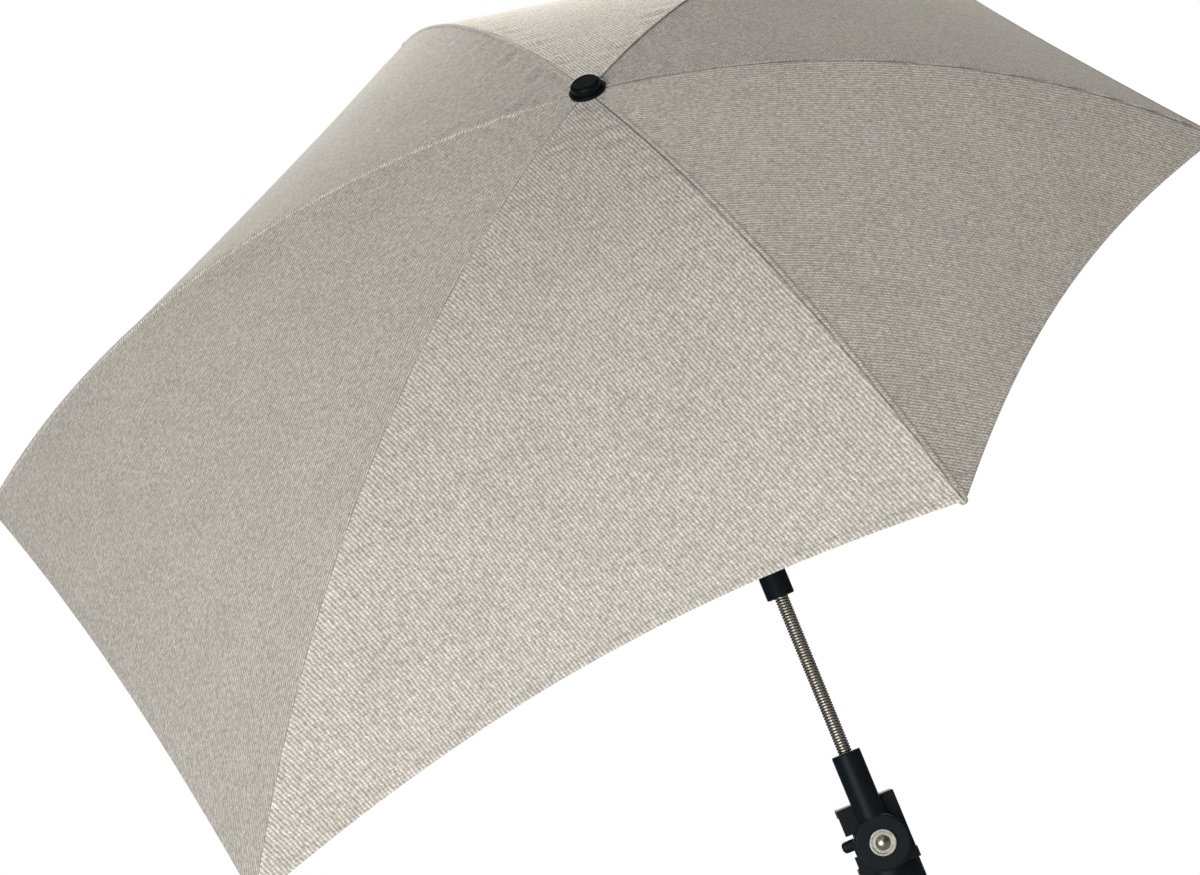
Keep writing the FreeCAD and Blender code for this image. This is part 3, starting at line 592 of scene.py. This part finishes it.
def half_cloth(number, neighbour, lapped):
    """The cloth from a rib's seam to the middle of the gore beside it: points, the distance of each from
    the seam, and its place in the gore's weave, from the gore's middle line and from the hub."""
    rib_length = RIB_SHAPES[number]["length"]
    body_rows = np.linspace(0, 1 - HEM_ROWS[0] / ROW_LENGTH, CLOTH_ROWS, endpoint=False)
    rows = np.concatenate([body_rows, 1 - HEM_ROWS / ROW_LENGTH])
    chord = over_cloth_share(neighbour, rows, CLOTH_LIFT) - over_cloth_share(number, rows, CLOTH_LIFT)
    rows = rows[:, None]
    half_width = np.linalg.norm(chord, axis=-1)[:, None] / 2
    seam_fade = np.minimum(1, half_width / SEAM_FADE_WIDTH)
    near = seam_fade * SEAM_COLUMNS
    spread = np.linspace(0, 1, GORE_COLUMNS + 1)[1:]
    across = np.concatenate([near, near[:, -1:] + (half_width - near[:, -1:]) * spread], axis=1)
    away = across / half_width
    gore = number if lapped else neighbour
    hem = 1 - (1 - HEM_MIDDLE_SHARES[gore]) * (1 - (1 - away) ** 2)
    corner = TIP_ROUND * np.exp(-across / TIP_ROUND) * rows ** TIP_ROUND_POWER / rib_length
    share = rows * hem - corner

    def at_lift(lift):
        on_rib = over_cloth_share(number, share, lift)
        on_next = over_cloth_share(neighbour, share, lift)
        return on_rib + (away / 2)[..., None] * (on_next - on_rib)

    middle = at_lift(CLOTH_LIFT)
    outward = at_lift(CLOTH_LIFT + 1) - middle
    outward /= np.linalg.norm(outward, axis=-1, keepdims=True)
    to_hem = (1 - rows) * ROW_LENGTH
    hem_turn = HEM_HEIGHT * step_down(to_hem, HEM_BAND, HEM_STEP) * (1 - step_down(to_hem, 0.0, HEM_EDGE))
    height = seam_height(across, lapped) * seam_fade + hem_turn
    height = height + puckers(number, share * rib_length, across, away)
    gore_length = (rib_length + RIB_SHAPES[neighbour]["length"]) / 2
    weave = np.stack([half_width - across, share * gore_length], axis=-1)
    return middle + outward * height[..., None], across, weave


def mark_cloth(mesh, weave_corners, from_seam, shades):
    """Store what the cloth's material reads: each face corner's place in the weave, each point's distance
    from the seam and each face's painted light and shade."""
    weave = mesh.uv_layers.new(name="cloth")
    weave.data.foreach_set("uv", weave_corners.astype(np.float32).ravel())
    for name, domain, values in (("from_seam", "POINT", from_seam), ("gore_shade", "FACE", shades)):
        mark = mesh.attributes.new(name, "FLOAT", domain)
        mark.data.foreach_set("value", values.astype(np.float32).ravel())


def cloth_sector(number):
    """The cloth over one rib, out to the middle of the gores beside it: the piece, the grid of its points
    in the mast's own frame, and how far each lies from the seam."""
    before, after = next_rib(number, -1), next_rib(number, 1)
    left, left_across, left_weave = half_cloth(number, before, False)
    right, right_across, right_weave = half_cloth(number, after, True)
    right_weave[..., 0] *= -1
    points = np.concatenate([left[:, :0:-1], right], axis=1)
    across = np.concatenate([-left_across[:, :0:-1], right_across], axis=1)
    row_count, column_count = across.shape
    index = np.arange(across.size).reshape(across.shape)
    corners = (index[:-1, :-1], index[1:, :-1], index[1:, 1:], index[:-1, 1:])
    quads = np.stack(corners, axis=-1).reshape(-1, 4)
    mesh = mesh_of("cloth_%d" % number, to_part(points).reshape(-1, 3), quads.tolist())
    # A point on the seam has a place in the weave of both gores, so each face takes its own gore's
    on_left = np.tile(np.arange(column_count - 1) < left.shape[1] - 1, row_count - 1)
    weave_left = np.concatenate([left_weave[:, ::-1], right_weave[:, 1:]], axis=1).reshape(-1, 2)
    weave_right = np.concatenate([left_weave[:, :0:-1], right_weave], axis=1).reshape(-1, 2)
    weave_corners = np.where(on_left[:, None, None], weave_left[quads], weave_right[quads])
    # Each face takes the painted light and shade of its own gore
    mark_cloth(mesh, weave_corners, across, np.where(on_left, GORE_PAINTED_LIGHT[before], GORE_PAINTED_LIGHT[number]))
    shade_smooth(mesh)
    piece = add_object("cloth_%d" % number, mesh)
    wall = piece.modifiers.new("wall", "SOLIDIFY")
    wall.thickness = CLOTH_THICKNESS * MM
    wall.offset = 0.0
    made_plain(piece)
    piece.data.set_sharp_from_angle(angle=CLOTH_SHARP_ANGLE)
    piece.data.materials.append(CLOTH)
    return piece, points, across


def tip_pocket(number):
    """The sewn pocket over a rib's end: a closed, slightly flattened finger of cloth under the corner."""
    points, places = [], []
    end = RIB_SHAPES[number]["length"] + POCKET_PROUD
    for ring in range(POCKET_RINGS - 1, 0, -1):
        ring_angle = math.pi * ring / POCKET_RINGS
        along = end - POCKET_LENGTH * (1 - math.cos(ring_angle)) / 2
        swell = math.sin(ring_angle) ** POCKET_BLUNTNESS
        for side in range(POCKET_SIDES):
            side_angle = 2 * math.pi * side / POCKET_SIDES
            lift = POCKET_MIDDLE_LIFT + POCKET_HALF_HEIGHT * swell * math.sin(side_angle)
            aside = POCKET_HALF_WIDTH * swell * math.cos(side_angle)
            points.append(over_rib(number, np.array(along), lift) + square_to_rib(number) * aside)
            places.append((aside, along))
    faces = tube_faces(POCKET_RINGS - 1, POCKET_SIDES)
    mesh = mesh_of("tip_pocket_%d" % number, to_part(np.array(points)), faces)
    weave_corners = np.array(places)[[loop.vertex_index for loop in mesh.loops]]
    # The pocket takes its gore's painted light and shade
    mark_cloth(mesh, weave_corners, np.full(len(points), POCKET_FROM_SEAM),
               np.full(len(faces), GORE_PAINTED_LIGHT[number]))
    shade_smooth(mesh)
    mesh.materials.append(CLOTH)
    return add_object("tip_pocket_%d" % number, mesh)


def sewing(number, grid, across):
    """The rows of stitches on one piece of cloth: down the lap of its seam and along its hem."""
    lap_column = int(np.argmin(np.abs(across[-1] - SEAM_STITCH_LINE)))
    hem_row = len(grid) - len(HEM_ROWS) + HEM_STITCH_ROW
    lift = np.array([0.0, 0.0, THREAD_LIFT])
    lines = [to_part(line + lift) for line in (grid[SEAM_STITCH_ROWS, lap_column], grid[hem_row])]
    return grow("stitches_%d" % number, line_mesh("stitch_lines", lines), STITCH_ROW, {
        "Pitch": STITCH_PITCH * MM, "Stitch length": STITCH_LENGTH * MM,
        "Thread radius": THREAD_RADIUS * MM, "Finish": THREAD})


def fold_with_runner(piece, number):
    """Let a piece ride on its rib, with a mesh of its own."""
    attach(piece, "rib_%d_set" % number)
    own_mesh(piece)


for rib_number in range(1, RIB_COUNT + 1):
    cloth, cloth_grid, spans = cloth_sector(rib_number)
    pocket = tip_pocket(rib_number)
    stitches = sewing(rib_number, cloth_grid, spans)
    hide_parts("canopy_%d" % rib_number)
    for piece in (cloth, pocket, stitches):
        fold_with_runner(piece, rib_number)

# Wound neck: its wire and its core, each in two halves
core_low, core_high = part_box("gooseneck_core")
neck_y = (core_low.y + core_high.y) / 2
neck_bottom = core_low.z + CORE_SOCKET * MM
neck_top = core_high.z - CORE_SOCKET * MM
neck_middle = (neck_bottom + neck_top) / 2
coil_rise = neck_top - neck_bottom + (2 * NECK_SOCKET - COIL_WIRE) * MM
coil_start = neck_bottom + (COIL_WIRE / 2 - NECK_SOCKET) * MM
coil_middle = coil_start + coil_rise / 2


def core_tube(low, high):
    """The flexible core: a tube with low rounded rings, seen between the turns of the wire."""
    ring_count = round((high - low) / (CORE_RING_PITCH * MM))
    points = []
    for ring in range(ring_count + 1):
        z = low + (high - low) * ring / ring_count
        radius = (CORE_RADIUS - CORE_RING_DEPTH * (ring % 2)) * MM
        for side in range(CORE_SIDES):
            angle = 2 * math.pi * side / CORE_SIDES
            points.append((radius * math.cos(angle), neck_y + radius * math.sin(angle), z))
    mesh = mesh_of("core", points, tube_faces(ring_count + 1, CORE_SIDES))
    shade_smooth(mesh)
    # The core's near-black colour is painted shade for the gaps between the turns
    mesh.materials.append(CORE_PAINTED_SHADE)
    return mesh


for half, bodies, (bend_start, bend_end), core_ends, wire_start in (
        ("lower", ("arm", "neck"), (neck_bottom, neck_middle), (core_low.z, neck_middle), coil_start),
        ("upper", ("neck", "collar"), (neck_middle, neck_top), (neck_middle, core_high.z), coil_middle)):
    coil = grow("neck_wire_" + half, bpy.data.meshes.new("wire"), WOUND_WIRE, {
        "Turns": COIL_TURNS / 2, "Wound radius": (COIL_RADIUS - COIL_WIRE / 2) * MM, "Rise": coil_rise / 2,
        "Wire radius": COIL_WIRE / 2 * MM, "Start": (0.0, neck_y, wire_start), "Finish": SPRING_STEEL})
    core = add_object("neck_core_" + half, core_tube(*core_ends))
    for piece, node, slot_name in ((coil, "gooseneck_coil", "nickel"), (core, "gooseneck_core", "steel")):
        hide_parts(node)
        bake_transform(piece)

# Springs under the two buttons
for node, joint_name, body, wound in (("lock_spring", "lock_press", "clamp", LOCK_SPRING),
                                      ("tilt_spring", "tilt_press", "collar", TILT_SPRING)):
    press = Vector(JOINTS[joint_name]["axis"])
    low, high = [Vector(corner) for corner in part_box(node)]
    middle = (low + high) / 2
    spring_length = abs((high - low).dot(press))
    rise = spring_length - wound["wire"] * MM
    spring = grow(node + "_wire", bpy.data.meshes.new("wire"), WOUND_WIRE, {
        "Turns": wound["turns"], "Wound radius": (wound["radius"] - wound["wire"] / 2) * MM, "Rise": rise,
        "Wire radius": wound["wire"] / 2 * MM, "Start": (0.0, 0.0, -rise / 2), "Finish": ZINC})
    spring.data.transform(Matrix.Translation(middle) @ press.to_track_quat("Z", "Y").to_matrix().to_4x4())
    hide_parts(node)
    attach(spring, body)
    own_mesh(spring)

# Camera, fitted to the seams, tips and neck in the photograph
PHOTO_WIDTH = 1200
FOCAL_PIXELS = 3111.8
SENSOR_WIDTH = 36.0
CAMERA_DISTANCE = 1.8447
CAMERA_ELEVATION = math.radians(-6.28)
CAMERA_ROLL = math.radians(-22.17)
CAMERA_TARGET = Vector((-0.0633, -0.0311, 0.2727))

camera = bpy.data.cameras.new("camera")
camera.sensor_fit = "HORIZONTAL"
camera.sensor_width = SENSOR_WIDTH
camera.lens = FOCAL_PIXELS / PHOTO_WIDTH * SENSOR_WIDTH
looking = Vector((0.0, math.cos(CAMERA_ELEVATION), -math.sin(CAMERA_ELEVATION)))
level_up = Vector((0.0, math.sin(CAMERA_ELEVATION), math.cos(CAMERA_ELEVATION)))
level_right = Vector((1.0, 0.0, 0.0))
photo_right = level_right * math.cos(CAMERA_ROLL) + level_up * math.sin(CAMERA_ROLL)
photo_up = level_up * math.cos(CAMERA_ROLL) - level_right * math.sin(CAMERA_ROLL)
turn = Matrix((photo_right, photo_up, -looking)).transposed().to_4x4()
camera_object = add_object("camera", camera)
camera_object.matrix_world = Matrix.Translation(CAMERA_TARGET - looking * CAMERA_DISTANCE) @ turn
SCENE.camera = camera_object
SCENE.view_settings.view_transform = "Standard"


# Light, in metres and watts
def soft_lamp(name, size, power, place, tint, aim):
    lamp = bpy.data.lights.new(name, "AREA")
    lamp.shape = "DISK"
    lamp.size = size
    lamp.energy = power
    lamp.color = linear(tint)[:3]
    holder = add_object(name, lamp)
    holder.location = place
    holder.rotation_mode = "QUATERNION"
    holder.rotation_quaternion = (Vector(aim) - Vector(place)).to_track_quat("-Z", "Y")


canopy_middle = to_part(np.array([0.0, 0.0, RIB_AXIS_TOP]))
soft_lamp("key", size=2.4, power=57.0, place=(-1.15, -2.6, 0.3), tint="#F9FBFF", aim=canopy_middle)
soft_lamp("sky", size=1.6, power=67.0, place=(0.25, 1.55, 1.75), tint="#FFFCF4", aim=canopy_middle)

WHITE = (1.0, 1.0, 1.0, 1.0)


def white_for_camera(tree, lit, share, mirrored):
    """Mix a lit shader with white for what the camera, mirrors and glass see; share is how much of it is
    white, and mirrored is white's strength in mirrors and glass."""
    path = add_node(tree, "ShaderNodeLightPath")
    by_camera = path.outputs["Is Camera Ray"]
    glossy = add_node(tree, "ShaderNodeMath", {
        0: path.outputs["Is Glossy Ray"], 1: path.outputs["Is Transmission Ray"]}, operation="MAXIMUM")
    seen = add_node(tree, "ShaderNodeMath", {0: by_camera, 1: glossy.outputs[0]}, operation="MAXIMUM")
    amount = add_node(tree, "ShaderNodeMath", {0: seen.outputs[0], 1: share}, operation="MULTIPLY")
    strength = add_node(tree, "ShaderNodeMath", {0: by_camera, 1: mirrored}, operation="MAXIMUM")
    white = add_node(tree, "ShaderNodeEmission", {"Color": WHITE, "Strength": strength.outputs[0]})
    mixed = add_node(tree, "ShaderNodeMixShader", {0: amount.outputs[0], 1: lit, 2: white.outputs[0]})
    return mixed.outputs[0]


# The studio's sweep is white behind the object; mirrors also show the dim room on the key lamp's side
AMBIENT = 0.16
ROOM_DIMNESS = 0.06
SWEEP_EDGE = 0.85
world = bpy.data.worlds.new("studio")
SCENE.world = world
world.use_nodes = True
studio = world.node_tree
studio.nodes.clear()
heading = add_node(studio, "ShaderNodeTexCoord").outputs["Generated"]
depth = add_node(studio, "ShaderNodeSeparateXYZ", {0: heading}).outputs["Y"]
sweep = add_node(studio, "ShaderNodeMapRange", {
    "Value": depth, "From Min": SWEEP_EDGE, "From Max": 1.0, "To Min": ROOM_DIMNESS, "To Max": 1.0})
ambient = add_node(studio, "ShaderNodeBackground", {"Color": WHITE, "Strength": AMBIENT})
add_node(studio, "ShaderNodeOutputWorld", {
    "Surface": white_for_camera(studio, ambient.outputs[0], 1.0, sweep.outputs[0])})

# Floor, a pram handle's height under the clamp, in metres; it whitens away from the object's shadow
FLOOR_HALF = 60.0
FLOOR_IN_MIRRORS = 0.15
SHADOW_REACH = 4.0
NEAR_FLOOR_WHITE = 0.85
HANDLE_HEIGHT = 0.9
floor_corners = [(x * FLOOR_HALF, y * FLOOR_HALF, -HANDLE_HEIGHT)
                 for x, y in ((-1, -1), (1, -1), (1, 1), (-1, 1))]
floor = add_object("floor", mesh_of("floor", floor_corners, [(0, 1, 2, 3)]))
floor_paint, paint = new_material("studio_white")
matt = add_node(paint, "ShaderNodeBsdfDiffuse", {"Color": linear("#F2F2F2")})
floor_place = add_node(paint, "ShaderNodeTexCoord").outputs["Object"]
from_object = add_node(paint, "ShaderNodeVectorMath", {0: floor_place}, operation="LENGTH")
whiteness = add_node(paint, "ShaderNodeMapRange", {
    "Value": from_object.outputs["Value"], "From Min": SHADOW_REACH / 2, "From Max": SHADOW_REACH,
    "To Min": NEAR_FLOOR_WHITE, "To Max": 1.0})
add_node(paint, "ShaderNodeOutputMaterial", {
    "Surface": white_for_camera(paint, matt.outputs[0], whiteness.outputs[0], FLOOR_IN_MIRRORS)})
floor.data.materials.append(floor_paint)
